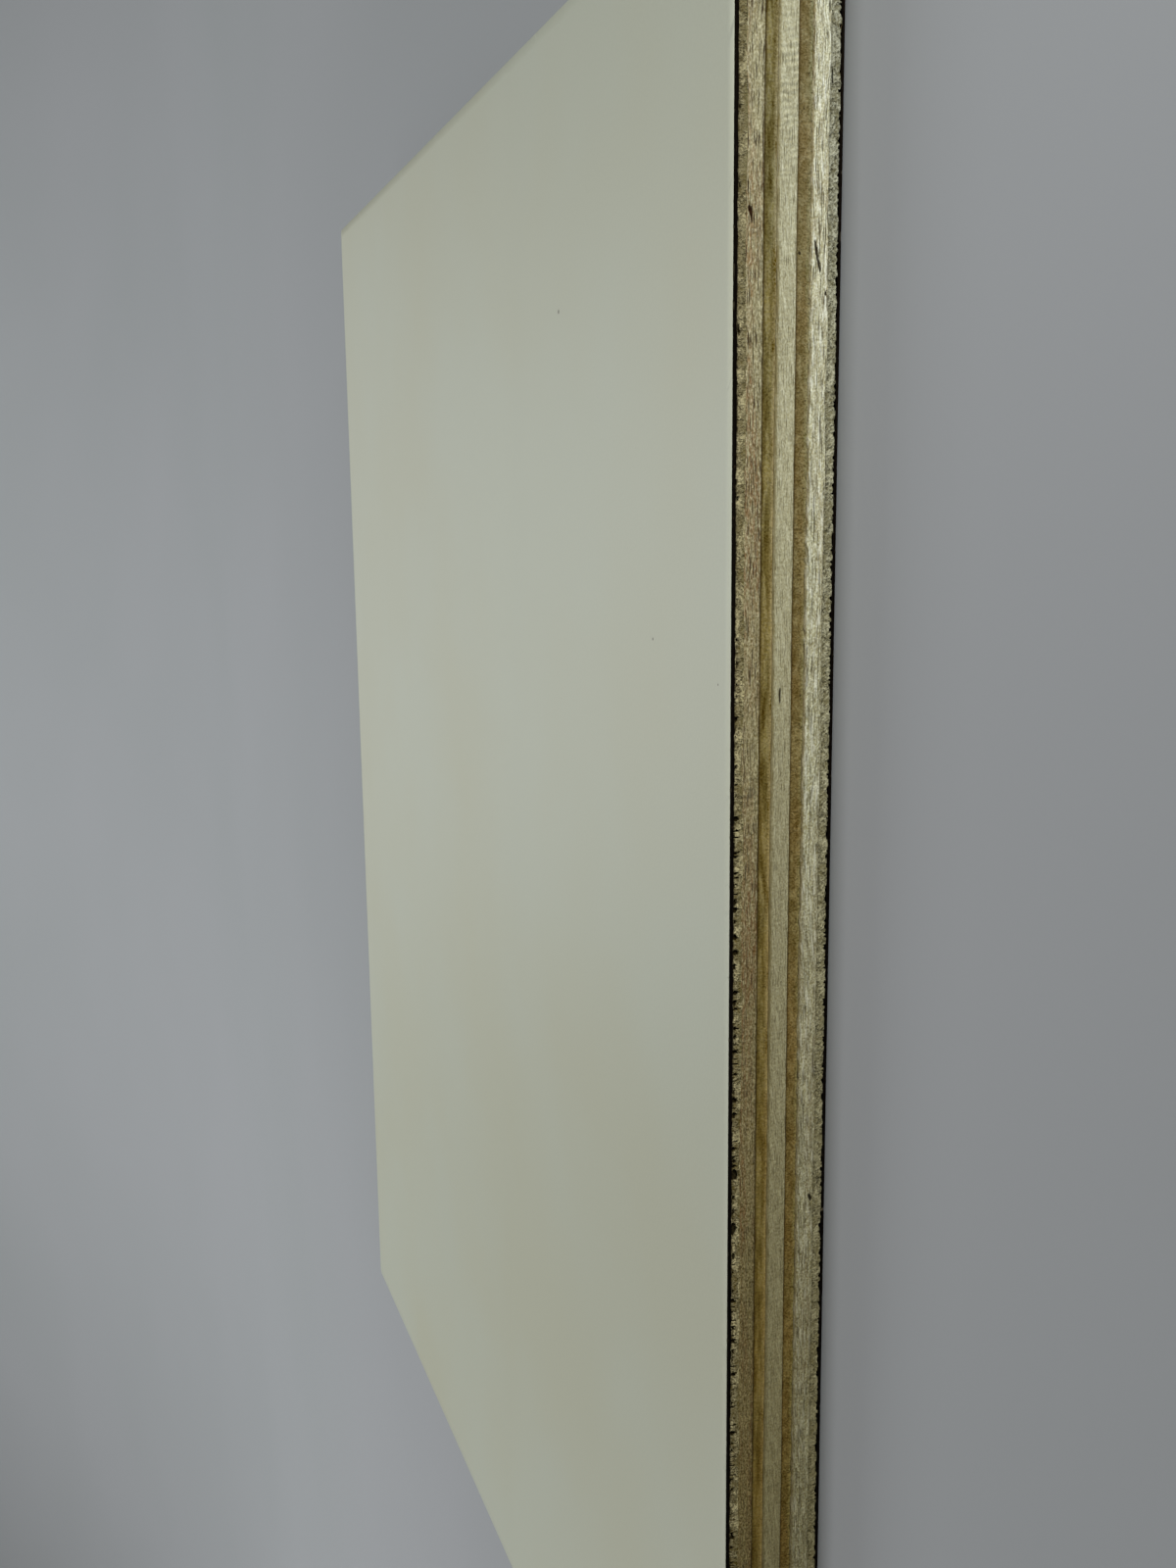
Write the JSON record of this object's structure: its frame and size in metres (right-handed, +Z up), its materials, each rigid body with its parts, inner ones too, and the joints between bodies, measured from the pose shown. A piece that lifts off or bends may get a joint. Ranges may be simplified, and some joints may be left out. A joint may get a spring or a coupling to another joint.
{
  "type": "plywood sheet",
  "caption": "Rectangular cut panel of plywood with matt cream laminate on both faces and its crossed veneers open to view on every edge.",
  "frame": {"origin": "centre of the back face, which lies on the floor", "axes": "+X along the panel's long side, +Y across it, +Z up out of the front face"},
  "size_m": [0.31, 0.254, 0.015],
  "materials": {
    "laminate": "matt cream decorative laminate, near-black at its cut edge",
    "speckled_veneer": "raw sawn veneer, speckled end grain with open pits",
    "pale_veneer": "raw sawn veneer, pale long fibres",
    "brown_veneer": "raw sawn veneer, grainy brown end grain",
    "ochre_veneer": "raw sawn veneer, ochre end grain",
    "tan_veneer": "raw sawn veneer, pinkish tan long fibres"
  },
  "bodies": {
    "root": {"back_laminate": "laminate", "back_face_ply": "speckled_veneer", "back_long_ply": "pale_veneer", "back_cross_ply": "brown_veneer", "centre_ply": "pale_veneer", "front_cross_ply": "ochre_veneer", "front_long_ply": "tan_veneer", "front_face_ply": "speckled_veneer", "front_laminate": "laminate"}
  },
  "joints": []
}
